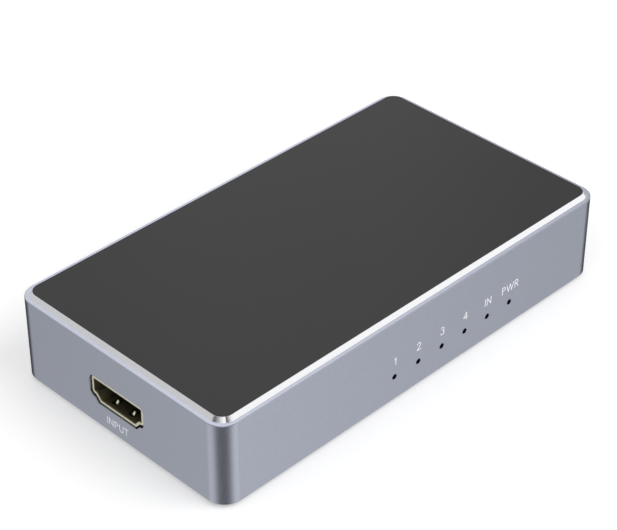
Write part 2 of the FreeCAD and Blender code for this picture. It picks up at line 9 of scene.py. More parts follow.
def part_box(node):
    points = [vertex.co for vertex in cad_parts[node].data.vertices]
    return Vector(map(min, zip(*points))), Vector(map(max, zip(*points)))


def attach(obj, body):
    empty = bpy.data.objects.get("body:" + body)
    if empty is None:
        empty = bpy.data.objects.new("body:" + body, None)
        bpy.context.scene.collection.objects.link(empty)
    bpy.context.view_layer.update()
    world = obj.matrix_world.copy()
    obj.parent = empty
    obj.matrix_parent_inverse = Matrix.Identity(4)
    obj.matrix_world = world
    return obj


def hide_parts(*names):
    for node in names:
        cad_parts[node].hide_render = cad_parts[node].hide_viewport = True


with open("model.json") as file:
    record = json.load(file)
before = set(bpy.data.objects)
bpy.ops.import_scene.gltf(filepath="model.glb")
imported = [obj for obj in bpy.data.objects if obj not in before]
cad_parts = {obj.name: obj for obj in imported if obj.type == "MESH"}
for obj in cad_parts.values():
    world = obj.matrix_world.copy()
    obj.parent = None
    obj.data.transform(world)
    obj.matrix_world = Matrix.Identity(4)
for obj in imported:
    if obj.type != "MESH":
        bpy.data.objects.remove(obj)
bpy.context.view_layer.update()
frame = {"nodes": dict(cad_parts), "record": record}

# A metal-cased box that copies one video input to four outputs. Lengths here are millimetres
# and are turned into metres when a piece is finished.
MM = 0.001


def box_of(node):
    """Lowest and highest corner of a CAD piece, in millimetres."""
    low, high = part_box(node)
    return Vector(low) / MM, Vector(high) / MM


def middle_of(node):
    """Middle of a CAD piece's box, in millimetres."""
    low, high = box_of(node)
    return (low + high) / 2


# Case, read from the frame where the frame gives it
case_low, case_high = box_of("housing_frame")
half_length = case_high.x
half_width = case_high.y
edge_z = case_low.z
top_z = case_high.z
rim_z = box_of("panel_adhesive")[0].z
board_top_z = box_of("main_board")[1].z
wall = 1.6
deck_thickness = 1.2
corner_radius = 4.35
corner_steps = 20
least_radius = 0.3
least_bend = 0.02
rim_width = 0.98
bevel_run = 0.7
bevel_land = 0.06
panel_pocket = rim_width + bevel_run + bevel_land
cover_thickness = 1.8
rebate_step = 0.6
rim_edge = 0.16
low_edge = 0.15
hole_edge = 0.07
case_crease = 20
post_inset = 6.4
post_width = 4.8
web_thickness = 1.2
pilot_radius = 1.28
pilot_end = 13.15
pilot_sides = 32
screw_places = [(sx * (half_length - post_inset), sy * (half_width - post_inset))
                for sx in (-1, 1) for sy in (-1, 1)]

# Panel
panel_gap = 0.03
panel_edge = 0.06

# Video sockets
socket_width = 15.0
socket_height = 5.55
socket_sheet = 0.5
socket_depth = 11.2
socket_step_height = 1.65
socket_step_width = 12.8
socket_step_drop = 0.3
socket_foot_width = 10.5
socket_corner = 0.6
socket_hollow = 0.25
cutout_gap = 0.2
cutout_foot_width = 11.0
cutout_step_height = 1.35
lip_flare = 0.25
lip_proud = 0.27
lip_length = 0.6
lip_round = 0.17
mouth_round = 0.22
# Bands of a shell's sheet, from its inner faces towards the mouth, painted darker as painted shade
painted_shade_bands = 4
finger_width = 0.72
finger_tip = 1.68
finger_crest = 2.36
finger_root = 5.6
finger_slot = 0.36
finger_tip_slot = 0.6
finger_sheet = 0.28
finger_lift = 0.44
finger_dip = 0.03
finger_crown = 0.3
finger_bend = 0.2
finger_inset = 0.02
finger_steps = 11
floor_fingers = 2.5
roof_fingers = 3.6
leg_width = 1.2
leg_inset = 0.01
leg_starts = (3.2, 9.2)
socket_z = box_of("input_shell")[1].z - lip_flare - socket_height / 2
leg_bottom_z = box_of("input_shell")[0].z
input_mouth = Vector((box_of("input_shell")[0].x, middle_of("input_shell").y, 0))
output_names = ["output_%d" % i for i in range(1, 5)]
output_mouths = [Vector((middle_of(name + "_shell").x, box_of(name + "_shell")[1].y, 0))
                 for name in output_names]

# Power jack and lamps
jack_x = middle_of("jack_body").x
jack_axis_height = 6.5
jack_axis_z = board_top_z + jack_axis_height
jack_hole_radius = 3.8
jack_hole_sides = 72
lamp_names = ["lamp_" + name for name in output_names] + ["lamp_input", "lamp_power"]
lamp_places = [middle_of(name).x for name in lamp_names]
lamp_height = 5.76
lamp_z = edge_z + lamp_height
lamp_hole_radius = 0.65
lamp_hole_sides = 40

# Screws and feet
screw_head_radius = 2.25
screw_head_height = 1.4
screw_radius = 1.25
screw_soft = 0.35
screw_soft_steps = 4
screw_sides = 40
recess_reach = 1.25
recess_half_width = 0.28
recess_floor_reach = 0.5
recess_floor_half_width = 0.2
recess_depth = 0.95
recess_over = 0.1
recess_turn = 12
screw_low_z, screw_top_z = box_of("cover_screws")[0].z, box_of("cover_screws")[1].z
foot_soft = 0.28
foot_soft_steps = 5
foot_sides = 64
foot_names = ["foot_front_left", "foot_front_right", "foot_back_left", "foot_back_right"]

# Legends
legend_proud = 0.02
legend_stroke = 0.21
legend_layer = 0.001
legend_gap = 0.12
legend_bend = 40
legend_cap_steps = 6
front_legend_height = 1.75
front_legend_spread = 1.15
front_legend_rise = 9.75
front_legend_z = edge_z + front_legend_rise
end_legend_height = 1.6
end_legend_spread = 1.16
end_legend_rise = 2.75
end_legend_z = edge_z + end_legend_rise
end_legend_y = 0.27
back_legend_rise = 14.2
back_legend_z = edge_z + back_legend_rise

# Edges broken on CAD pieces that stay: (node, width of the break)
softened = [("jack_body", 0.2), ("jack_spring", 0.06), ("bottom_cover", 0.12)]
softened += [(name + "_core", 0.1) for name in ["input"] + output_names]
soft_edge_steps = 2
soft_edge_angle = 40
weld_reach = 0.001

# Angle (degrees) past which an edge is drawn sharp, and the part of a noise's range over which
# a finish goes from its darker to its lighter colour
sharp_angle = 32
noise_span = (0.3, 0.7)

# Light that the metal reflects, as (direction, brightness) pairs. Depth runs away from the
# photograph's camera and side to its right, both level; the low part of the room is below the
# table's level, and dark only where it is far down.
low_depth_levels = [(-0.88, 0.75), (-0.84, 0.0), (-0.71, 0.0), (-0.56, 0.58), (-0.42, 1.0), (-0.12, 1.0),
                    (0.02, 0.72), (0.25, 0.6), (0.41, 0.02), (0.82, 0.0), (0.86, 0.6)]
low_height_levels = [(-0.52, 0.0), (-0.47, 0.6)]
low_side_levels = [(-0.5, 0.83), (0.5, 0.945)]
high_side_levels = [(-0.97, 0.6), (-0.88, 0.5), (-0.8, 0.16), (-0.64, 0.18), (-0.5, 0.34), (-0.32, 0.52),
                    (-0.1, 0.78), (0.15, 0.97), (0.32, 0.97), (0.345, 0.02), (0.43, 0.12), (0.58, 0.4),
                    (0.72, 0.72), (0.86, 1.0)]
high_back_levels = [(-0.95, 0.6), (-0.5, 0.86), (-0.13, 0.93), (-0.04, 1.0), (0.02, 0.98), (0.14, 0.8),
                    (0.24, 0.5), (0.5, 0.4), (0.7, 0.75), (0.82, 1.0)]
high_height_levels = [(0.3, 1.0), (0.5, 0.86), (0.7, 1.0)]

# Share of the high room's front part by depth, and of the whole high room by height
front_share = [(-0.45, 1.0), (-0.25, 0.0)]
high_share = [(-0.25, 0.0), (0.05, 1.0)]

# Plain light of the room, the floor (metres across), and the lamps (degrees)
room_level = 0.55
floor_reach = 6.0
floor_squares = 8
floor_drop = 0.02
floor_colour = "#E6E6E6"
floor_glow = 0.3
key_lamp = {"azimuth": 155, "elevation": 45, "strength": 1.3, "softness": 45}
fill_lamp = {"azimuth": -110, "elevation": 42, "strength": 0.7, "softness": 60}

# Camera, worked out from the edges of the case in the photograph
image_width = 617
focal_pixels = 2043.3
sensor_width = 36.0
camera_yaw = 45.17
camera_pitch = 35.89
camera_roll = 0.093
camera_place = Vector((-249.33, -245.33, 267.99))
camera_near = 10.0


# Helpers for shapes

def rounded(corners, steps=6):
    """Points of a closed outline whose corners (a, b, radius) are rounded."""
    points = []
    count = len(corners)
    for i, (a, b, radius) in enumerate(corners):
        here = Vector((a, b))
        back = (Vector(corners[i - 1][:2]) - here).normalized()
        ahead = (Vector(corners[(i + 1) % count][:2]) - here).normalized()
        half_turn = back.angle(ahead) / 2
        centre = here + (back + ahead).normalized() * (radius / math.sin(half_turn))
        first = here + back * (radius / math.tan(half_turn)) - centre
        last = here + ahead * (radius / math.tan(half_turn)) - centre
        turn = first.angle_signed(last)
        for k in range(steps + 1):
            points.append(centre + Matrix.Rotation(-turn * k / steps, 2) @ first)
    return points


def grown(corners, amount):
    """An outline's corners moved outwards by an amount; they run anticlockwise."""
    further = []
    count = len(corners)
    for i, (a, b, radius) in enumerate(corners):
        here = Vector((a, b))
        inward = (here - Vector(corners[i - 1][:2])).normalized()
        onward = (Vector(corners[(i + 1) % count][:2]) - here).normalized()
        side = Vector((inward.y, -inward.x))
        bisector = (side + Vector((onward.y, -onward.x))).normalized()
        place = here + bisector * (amount / bisector.dot(side))
        bend = amount if inward.cross(onward) > 0 else -amount
        further.append((place.x, place.y, max(radius + bend, least_bend)))
    return further


def skin(rings, finishes=None, closed=False):
    """Surface through rings of equal length; its ends are filled, or joined if it is closed."""
    bm = bmesh.new()
    loops = [[bm.verts.new(point) for point in ring] for ring in rings]
    pairs = list(zip(loops, loops[1:]))
    if closed:
        pairs.append((loops[-1], loops[0]))
    for band, (low, high) in enumerate(pairs):
        for i in range(len(low)):
            j = (i + 1) % len(low)
            face = bm.faces.new((low[i], low[j], high[j], high[i]))
            face.material_index = finishes[band] if finishes else 0
    if not closed:
        bm.faces.new(loops[0][::-1])
        bm.faces.new(loops[-1])
    bmesh.ops.recalc_face_normals(bm, faces=bm.faces[:])
    return bm


def turned(profile, steps):
    """Solid turned about the upright axis from (radius, height) points."""
    angles = [2 * math.pi * k / steps for k in range(steps)]
    return skin([[(r * math.cos(t), r * math.sin(t), h) for t in angles] for r, h in profile])


def bar_along(outline, near, far):
    """Solid drawn from an outline of (x, z) points along its depth, which is +Y."""
    return skin([[(x, y, z) for x, z in outline] for y in (near, far)])


def block(x0, x1, y0, y1, z0, z1):
    """Upright box between two values on each axis."""
    return bar_along([(x0, z0), (x1, z0), (x1, z1), (x0, z1)], y0, y1)


def moved(bm, matrix):
    """The same mesh in another place."""
    bm.transform(matrix)
    return bm


def together(parts):
    """One mesh out of several that lie side by side."""
    whole = bmesh.new()
    for part in parts:
        mesh = bpy.data.meshes.new("part")
        part.to_mesh(mesh)
        part.free()
        whole.from_mesh(mesh)
        bpy.data.meshes.remove(mesh)
    return whole


def carved(solid, tool, operation="DIFFERENCE"):
    """A closed mesh after another was cut from it or joined to it."""
    things = []
    for name, bm in (("solid", solid), ("tool", tool)):
        mesh = bpy.data.meshes.new(name)
        bm.to_mesh(mesh)
        bm.free()
        things.append(bpy.data.objects.new(name, mesh))
        bpy.context.scene.collection.objects.link(things[-1])
    modifier = things[0].modifiers.new("carve", "BOOLEAN")
    modifier.object = things[1]
    modifier.operation = operation
    modifier.solver = "EXACT"
    graph = bpy.context.evaluated_depsgraph_get()
    result = bmesh.new()
    result.from_object(things[0], graph)
    for thing in things:
        mesh = thing.data
        bpy.data.objects.remove(thing)
        bpy.data.meshes.remove(mesh)
    return result


def piece(name, bm, finishes, replaced=(), crease=sharp_angle, flat=False):
    """Finishes a mesh as a named piece of the object that rides on the case."""
    bm.transform(Matrix.Scale(MM, 4))
    mesh = bpy.data.meshes.new(name)
    bm.to_mesh(mesh)
    bm.free()
    mesh.shade_smooth()
    mesh.set_sharp_from_angle(angle=math.radians(crease))
    for material in finishes:
        mesh.materials.append(material)
    thing = bpy.data.objects.new(name, mesh)
    bpy.context.scene.collection.objects.link(thing)
    if flat:
        thing.modifiers.new("even_faces", "WEIGHTED_NORMAL").keep_sharp = True
    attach(thing, "root")
    if replaced:
        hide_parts(*replaced)
    return thing


# Helpers for materials

def linear(hex_colour):
    """An sRGB hex colour as the linear values that the shader takes."""
    values = [int(hex_colour[i:i + 2], 16) / 255 for i in (1, 3, 5)]
    return [v / 12.92 if v <= 0.04045 else ((v + 0.055) / 1.055) ** 2.4 for v in values] + [1.0]


def add_node(tree, kind, settings=None, links=None):
    """Adds a node; settings go to its sockets or to the node itself, links join its sockets."""
    node = tree.nodes.new(kind)
    for name, value in (settings or {}).items():
        if isinstance(name, int) or name in node.inputs:
            node.inputs[name].default_value = value
        else:
            setattr(node, name, value)
    for name, source in (links or {}).items():
        tree.links.new(source, node.inputs[name])
    return node


def grain(tree, size, detail=2.0, stretch=(1, 1, 1)):
    """Noise with grains about size millimetres across, fixed to the object."""
    place = add_node(tree, "ShaderNodeTexCoord")
    scale = [1 / (size * MM * s) for s in stretch]
    mapping = add_node(tree, "ShaderNodeMapping", {"Scale": scale}, {"Vector": place.outputs["Object"]})
    noise = add_node(tree, "ShaderNodeTexNoise", {"Scale": 1.0, "Detail": detail},
                     {"Vector": mapping.outputs["Vector"]})
    return noise.outputs["Fac"]


def surface(name, dark, light, smooth, coarse, patch, metallic=0.0, ior=1.5, stretch=(1, 1, 1)):
    """Material whose colour and roughness wander between two values, in patches so many mm wide."""
    material = bpy.data.materials.new(name)
    material.use_nodes = True
    tree = material.node_tree
    shader = tree.nodes["Principled BSDF"]
    shader.inputs["Metallic"].default_value = metallic
    shader.inputs["IOR"].default_value = ior
    pattern = grain(tree, patch, stretch=stretch)
    ramp = add_node(tree, "ShaderNodeValToRGB", {}, {"Fac": pattern})
    for element, position, colour in zip(ramp.color_ramp.elements, noise_span, (dark, light)):
        element.position = position
        element.color = linear(colour)
    spread = add_node(tree, "ShaderNodeMapRange", {"To Min": smooth, "To Max": coarse}, {"Value": pattern})
    tree.links.new(ramp.outputs["Color"], shader.inputs["Base Color"])
    tree.links.new(spread.outputs["Result"], shader.inputs["Roughness"])
    return material


def emboss(material, size, height, detail=2.0, stretch=(1, 1, 1)):
    """Gives a material a fine relief of grains, height millimetres deep."""
    tree = material.node_tree
    bump = add_node(tree, "ShaderNodeBump", {"Distance": height * MM},
                    {"Height": grain(tree, size, detail, stretch)})
    tree.links.new(bump.outputs["Normal"], tree.nodes["Principled BSDF"].inputs["Normal"])
    return material


# Materials

def anodised_aluminium():
    """Blasted and anodised aluminium: a blue-grey satin. The 0.1 mm grit is drawn 0.3 mm wide to show."""
    made = surface("anodised_aluminium", "#B5BAC8", "#BCC1CF", 0.27, 0.35, 0.4, metallic=1.0)
    return emboss(made, 0.3, 0.005)


def rim_milled_painted_light():
    """The flat rim, milled after blasting: the same metal, smoother, painted paler as painted light."""
    return surface("milled_rim_painted_light", "#CED2E3", "#D5D9E9", 0.22, 0.28, 1.5, metallic=1.0)


def cut_bevel():
    """Bevel cut with a diamond tool: bare bright aluminium, almost a mirror."""
    return surface("diamond_cut_bevel", "#F4F5F8", "#FBFBFD", 0.1, 0.14, 0.6, metallic=1.0)


def bore_painted_shade():
    """Lamps' bores: dull near-black, as painted shade in the narrow holes, so that only the lamp shows."""
    return surface("bore_painted_shade", "#050506", "#09090A", 0.6, 0.75, 0.3, ior=1.45)


def black_acrylic():
    """Cast acrylic sheet, black through and polished: it shows the room and little of its own colour."""
    return surface("black_acrylic", "#0C0C0C", "#0E0E0E", 0.05, 0.08, 18.0, ior=1.49)


def black_abs():
    """Moulded ABS with a spark-eroded skin: a dull black with a fine even tooth."""
    return emboss(surface("black_abs", "#17181A", "#1C1D1F", 0.5, 0.6, 2.0, ior=1.53), 0.5, 0.02)


def rubber():
    """Moulded rubber: dull charcoal with a faint bloom."""
    return emboss(surface("rubber", "#1A1A1B", "#222224", 0.72, 0.85, 1.2, ior=1.52), 0.35, 0.015)


def zinc_plated_steel():
    """Zinc-plated steel: pale grey with patches where the plating took differently."""
    return surface("zinc_plated_steel", "#A9ABA8", "#BDBFBE", 0.24, 0.36, 0.8, metallic=1.0)


def plated_brass_sheet():
    """Brass sheet under thin plating, drawn and folded: a pale warm gold with faint drawing lines."""
    made = surface("plated_brass_sheet", "#E4DFC6", "#EEEAD4", 0.2, 0.3, 0.8, metallic=1.0)
    return emboss(made, 0.3, 0.0015, stretch=(1, 8, 1))


def shaded_brass():
    """Inner faces of a shell: the same plating, rougher, painted dark brown as painted shade."""
    made = surface("shaded_brass_sheet", "#807A62", "#908A70", 0.42, 0.56, 0.8, metallic=1.0)
    return emboss(made, 0.3, 0.0015, stretch=(1, 8, 1))


def black_nylon():
    """Glass-filled nylon: dull black, slightly grainy, lifted and warmed a little as painted light."""
    return emboss(surface("black_nylon", "#171613", "#1E1D19", 0.45, 0.6, 0.6, ior=1.53), 0.2, 0.006)


def gold_plated_contacts():
    """Contacts with a thin layer of gold: deep yellow and smooth."""
    return surface("gold_plated_contacts", "#E0B15C", "#EBC274", 0.16, 0.26, 0.5, metallic=1.0)


def nickel_plated_brass():
    """Turned and nickel-plated brass: a bright warm grey."""
    return surface("nickel_plated_brass", "#C6C1B4", "#D4D0C5", 0.14, 0.24, 0.3, metallic=1.0)


def lamp_resin():
    """Smoked epoxy: nearly black while the lamp is off."""
    return surface("lamp_resin", "#111112", "#18181A", 0.3, 0.42, 0.5, ior=1.53)


def black_silicone():
    """Soft moulded silicone: black and dull."""
    return emboss(surface("black_silicone", "#0E0E0F", "#151516", 0.65, 0.8, 0.8, ior=1.41), 0.3, 0.008)


def adhesive_film():
    """Film of clear adhesive on pale carrier."""
    return surface("adhesive_film", "#CFCEC6", "#DCDBD4", 0.4, 0.55, 3.0, ior=1.47)


def circuit_board():
    """Green lacquer over copper: the tracks show as slightly raised lines, about 0.8 mm apart."""
    made = surface("circuit_board", "#0C3B22", "#15502F", 0.28, 0.4, 1.6, ior=1.55, stretch=(1, 6, 1))
    return emboss(made, 0.8, 0.02, detail=0.0, stretch=(1, 6, 1))


def chip_epoxy():
    """Moulded chip package: dark grey with a fine matte skin."""
    return emboss(surface("chip_epoxy", "#1F2022", "#28292B", 0.5, 0.62, 0.6, ior=1.55), 0.15, 0.004)


def pad_silicone():
    """Heat-conducting silicone pad: soft blue-grey."""
    return surface("pad_silicone", "#8A97A8", "#98A5B5", 0.7, 0.85, 0.6, ior=1.41)


def black_anodised_aluminium():
    """Extruded and black-anodised aluminium, with faint lines along the fins."""
    return surface("black_anodised_aluminium", "#26272A", "#303135", 0.3, 0.42, 0.8, metallic=1.0,
                   stretch=(1, 10, 1))


def ferrite():
    """Pressed and fired ferrite: charcoal and slightly pitted."""
    return emboss(surface("ferrite", "#303133", "#3E3F42", 0.55, 0.75, 0.4, ior=1.8), 0.25, 0.01)


def can_aluminium():
    """Drawn aluminium can: bright with faint drawing lines up its side."""
    return surface("can_aluminium", "#C3C5C8", "#D0D2D5", 0.22, 0.34, 0.5, metallic=1.0,
                   stretch=(1, 1, 8))


def crystal_metal():
    """Nickel-plated lid of the oscillator: smooth warm silver."""
    return surface("crystal_metal", "#C2BFB6", "#D0CEC6", 0.18, 0.28, 0.4, metallic=1.0)


def barium_ceramic():
    """Fired ceramic chip parts: tan and slightly speckled."""
    return surface("barium_ceramic", "#A58A68", "#B99E7C", 0.4, 0.55, 0.2, ior=1.8)


def legend_ink():
    """Pad-printed white ink: a thin, slightly uneven layer."""
    return surface("legend_ink", "#F4F5FB", "#FCFCFF", 0.5, 0.65, 0.3)


finish = {make.__name__: make() for make in (
    anodised_aluminium, rim_milled_painted_light, cut_bevel, bore_painted_shade, black_acrylic, black_abs, rubber,
    zinc_plated_steel, plated_brass_sheet, shaded_brass, black_nylon, gold_plated_contacts,
    nickel_plated_brass, lamp_resin, black_silicone, adhesive_film, circuit_board, chip_epoxy,
    pad_silicone, black_anodised_aluminium, ferrite, can_aluminium, crystal_metal, barium_ceramic,
    legend_ink)}


# Case

def case_ring(inset, z):
    """The case's outline at one level, moved inwards."""
    x = half_length - inset
    y = half_width - inset
    radius = max(corner_radius - inset, least_radius)
    corners = [(x, -y, radius), (x, y, radius), (-x, y, radius), (-x, -y, radius)]
    return [(p.x, p.y, z) for p in rounded(corners, corner_steps)]


def quarter(inset, z, radius, start, steps=6):
    """Points (inset, z) of a small edge round; start is the angle at its first end."""
    angles = [math.radians(start + 90 * k / steps) for k in range(steps + 1)]
    return [(inset + radius * math.cos(a), z + radius * math.sin(a)) for a in angles]


def socket_corners(foot_width=socket_foot_width, step_height=socket_step_height):
    """Corners of the socket's outer outline, wide side up, with a step to its narrow foot."""
    side = socket_width / 2
    step_side = socket_step_width / 2
    foot_side = foot_width / 2
    low = socket_z - socket_height / 2
    high = socket_z + socket_height / 2
    step_z = low + step_height
    right = [(foot_side, low, socket_corner), (step_side, step_z - socket_step_drop, socket_hollow),
             (side, step_z, socket_corner), (side, high, socket_corner)]
    return right + [(-a, b, r) for a, b, r in reversed(right)]


def facing_left(place):
    """Turns a piece built with its mouth at the origin towards the left end of the case."""
    return Matrix.Translation(place) @ Matrix.Rotation(math.radians(-90), 4, "Z")


def facing_back(place):
    """Turns a piece built with its mouth at the origin towards the back of the case."""
    return Matrix.Translation(place) @ Matrix.Rotation(math.radians(180), 4, "Z")


def screw_posts():
    """Four square posts under the deck with the webs that tie them to the walls."""
    parts = []
    half = post_width / 2
    half_web = web_thickness / 2
    roof = rim_z - deck_thickness / 2
    for x, y in screw_places:
        parts.append(block(x - half, x + half, y - half, y + half, board_top_z, roof))
        x0, x1 = sorted((x, math.copysign(half_length - wall / 2, x)))
        y0, y1 = sorted((y, math.copysign(half_width - wall / 2, y)))
        parts.append(block(x0, x1, y - half_web, y + half_web, board_top_z, roof))
        parts.append(block(x - half_web, x + half_web, y0, y1, board_top_z, roof))
    return parts


def socket_cutter():
    """Cuts a socket's opening through a wall, with its outer edge broken; outside is towards -Y."""
    corners = socket_corners(cutout_foot_width, cutout_step_height)
    narrow = rounded(grown(corners, lip_flare + cutout_gap))
    broken = rounded(grown(corners, lip_flare + cutout_gap + hole_edge))
    return skin([[(p.x, y, p.y) for p in outline] for y, outline in
                 ((-wall, broken), (0.0, broken), (hole_edge, narrow), (2 * wall, narrow))])


def hole_cutter(radius, steps):
    """Cuts a round hole through a wall, with its outer edge broken; outside is towards -Y."""
    broken = radius + hole_edge
    profile = [(broken, wall), (broken, 0.0), (radius, -hole_edge), (radius, -2 * wall)]
    return moved(turned(profile, steps), Matrix.Rotation(math.radians(90), 4, "X"))


def case_walls():
    """Walls, rim, bevelled bezel and deck, drawn round the case's outline."""
    satin, rim, bevel = 0, 1, 2
    wall_top = quarter(rim_edge, rim_z - rim_edge, rim_edge, 90)
    wall_foot = quarter(low_edge, edge_z + low_edge, low_edge, 180)
    profile = [(panel_pocket, rim_z), (panel_pocket, top_z), (rim_width + bevel_run, top_z),
               (rim_width, rim_z)]
    profile += wall_top + wall_foot
    profile += [(wall - rebate_step, edge_z), (wall - rebate_step, edge_z + cover_thickness),
                (wall, edge_z + cover_thickness), (wall, rim_z - deck_thickness)]
    # The rim's band takes the paler copy of the wall metal: painted light
    bands = [satin, satin, bevel, rim]
    bands += [satin] * (len(profile) - 1 - len(bands))
    return skin([case_ring(inset, z) for inset, z in profile], bands)


def case_openings():
    """Everything that is cut through the case: sockets, jack, lamps and the screws' pilot holes."""
    cuts = [moved(socket_cutter(), facing_left(Vector((-half_length, input_mouth.y, 0))))]
    for mouth in output_mouths:
        cuts.append(moved(socket_cutter(), facing_back(Vector((mouth.x, half_width, 0)))))
    jack_place = facing_back(Vector((jack_x, half_width, jack_axis_z)))
    cuts.append(moved(hole_cutter(jack_hole_radius, jack_hole_sides), jack_place))
    for x in lamp_places:
        lamp_place = Matrix.Translation((x, -half_width, lamp_z))
        cuts.append(moved(hole_cutter(lamp_hole_radius, lamp_hole_sides), lamp_place))
    for x, y in screw_places:
        hole = turned([(pilot_radius, board_top_z - wall), (pilot_radius, pilot_end)], pilot_sides)
        cuts.append(moved(hole, Matrix.Translation((x, y, 0))))
    return together(cuts)


def paint_shade_in_lamp_bores(shell, bore):
    """Paints shade inside the lamps' holes in the front wall: their faces take the near-black finish."""
    for face in shell.faces:
        centre = face.calc_center_median()
        in_hole = any(math.hypot(centre.x - x, centre.z - lamp_z) < lamp_hole_radius for x in lamp_places)
        faces_sideways = abs(face.normal.y) < 0.5
        if in_hole and faces_sideways and centre.y < 0:
            face.material_index = bore


def housing():
    """Walls, rim, bevelled bezel, deck and posts in one piece, with the openings cut through it."""
    shell = case_walls()
    for part in screw_posts():
        shell = carved(shell, part, "UNION")
    shell = carved(shell, case_openings())
    # The rim takes a paler copy of the metal as painted light, the lamps' bores a near-black as painted
    # shade
    names = ["anodised_aluminium", "rim_milled_painted_light", "cut_bevel", "bore_painted_shade"]
    paint_shade_in_lamp_bores(shell, names.index("bore_painted_shade"))
    return piece("housing", shell, [finish[name] for name in names],
                 ["housing_frame"], crease=case_crease, flat=True)


def glossy_panel():
    """Flat panel that fills the bezel, its upper edge just broken."""
    inset = panel_pocket + panel_gap
    low = box_of("top_panel")[0].z
    profile = [(inset, low), (inset, top_z - panel_edge), (inset + panel_edge, top_z)]
    rings = [case_ring(inset, z) for inset, z in profile]
    return piece("glossy_panel", skin(rings), [finish["black_acrylic"]], ["top_panel"])


# Video sockets

def spring_finger(x, base, crest, tip):
    """Sprung strip: it leaves the sheet at its root, rises to its crest and slopes down to its tip."""
    line = [(finger_root + finger_slot, base, 0.0)]
    for k in range(finger_steps + 1):
        t = k / finger_steps
        rise = (1 - math.cos(math.pi * t)) / 2
        line.append((finger_root - (finger_root - finger_crest) * t, base + (crest - base) * rise, rise))
    for k in range(1, finger_steps + 1):
        t = k / finger_steps
        fall = (math.hypot(t, finger_bend) - finger_bend) / (math.hypot(1, finger_bend) - finger_bend)
        line.append((finger_crest - (finger_crest - finger_tip) * t, crest + (tip - crest) * fall, 1.0))
    sheet = math.copysign(finger_sheet, crest - base)
    crown = math.copysign(finger_crown, crest - base)
    across = [-1 + 2 * k / finger_steps for k in range(finger_steps + 1)]
    rings = []
    for y, z, share in line:
        over = [(x + finger_width / 2 * a, y, z - share * crown * a * a) for a in across]
        rings.append(over + [(px, py, pz - sheet) for px, py, pz in over[::-1]])
    return skin(rings)


def lipped_sheet():
    """Sheet folded to the socket's outline, with a rolled lip round its mouth."""
    inner_edge = [(inset, 2 * mouth_round - y)
                  for inset, y in quarter(socket_sheet - mouth_round, mouth_round, mouth_round, 0, steps=4)]
    outer_edge = [(inset, 2 * lip_round - y)
                  for inset, y in quarter(lip_round - lip_proud, lip_round, lip_round, 90, steps=3)]
    back = [(-lip_proud, lip_length - lip_round), (lip_round - lip_proud, lip_length), (0.0, lip_length)]
    path = [(socket_sheet, socket_depth)] + inner_edge + outer_edge + back + [(0.0, socket_depth)]
    rings = []
    for inset, y in path:
        rings.append([(p.x, y, p.y) for p in rounded(grown(socket_corners(), -inset))])
    # Inner faces and most of the mouth's inner rounding take the darker plating: painted shade
    return skin(rings, [1] * painted_shade_bands + [0] * (len(rings) - painted_shade_bands), closed=True)


def slots_and_fingers():
    """Slots in a shell's floor and roof, and the sprung fingers that stand in them."""
    low = socket_z - socket_height / 2
    high = socket_z + socket_height / 2
    reach = finger_width / 2 + finger_slot
    slots, fingers = [], []
    for hand in (-1, 1):
        for x, base, sense in ((hand * floor_fingers, low, 1), (hand * roof_fingers, high, -1)):
            inner = base + sense * socket_sheet
            z0, z1 = sorted((base - sense * socket_sheet, base + 2 * sense * socket_sheet))
            slots.append(block(x - reach, x + reach, finger_tip - finger_tip_slot, finger_root, z0, z1))
            fingers.append(spring_finger(x, base + sense * (finger_sheet + finger_inset),
                                         inner + sense * finger_lift, inner - sense * finger_dip))
    return together(slots), together(fingers)


def shell_legs():
    """Four legs that reach down from a shell's sides through the board."""
    side = socket_width / 2
    legs = []
    for hand in (-1, 1):
        for start in leg_starts:
            x0, x1 = sorted((hand * (side - socket_sheet + leg_inset), hand * (side - leg_inset)))
            legs.append(block(x0, x1, start, start + leg_width, leg_bottom_z, socket_z))
    return together(legs)


def socket_shell(name, place):
    """Folded sheet shell with a rolled lip, sprung fingers in its floor and roof, and four legs."""
    slots, fingers = slots_and_fingers()
    shell = carved(lipped_sheet(), slots)
    shell = carved(shell, fingers, "UNION")
    shell = carved(shell, shell_legs(), "UNION")
    # The second finish is the plating painted darker, as painted shade inside the shell
    finishes = [finish["plated_brass_sheet"], finish["shaded_brass"]]
    return piece(name + "_sheet_shell", moved(shell, place), finishes,
                 [name + "_shell"])


# Feet and screws

def soft_rim(radius, z, soft, steps):
    """Points (radius, height) of the rounded lower edge of something turned."""
    angles = [math.radians(90 * k / steps) for k in range(steps + 1)]
    return [(radius - soft * (1 - math.sin(a)), z + soft * (1 - math.cos(a))) for a in angles]


def foot(name):
    """Round rubber foot with a soft lower edge."""
    low, high = box_of(name)
    radius = (high.x - low.x) / 2
    edge = soft_rim(radius, 0.0, foot_soft, foot_soft_steps)
    profile = [(radius - 2 * foot_soft, 0.0)] + edge + [(radius, high.z)]
    centre = (low + high) / 2
    pad = moved(turned(profile, foot_sides), Matrix.Translation((centre.x, centre.y, 0)))
    return piece(name + "_pad", pad, [finish["rubber"]], [name])


def recess_arm(turn):
    """One of the two crossing bars that cut a screw's recess; it tapers towards its floor."""
    ends = ((recess_reach, recess_half_width, screw_low_z - recess_over),
            (recess_floor_reach, recess_floor_half_width, screw_low_z + recess_depth))
    bar = skin([[(-a, -b, z), (a, -b, z), (a, b, z), (-a, b, z)] for a, b, z in ends])
    return moved(bar, Matrix.Rotation(math.radians(turn + recess_turn), 4, "Z"))


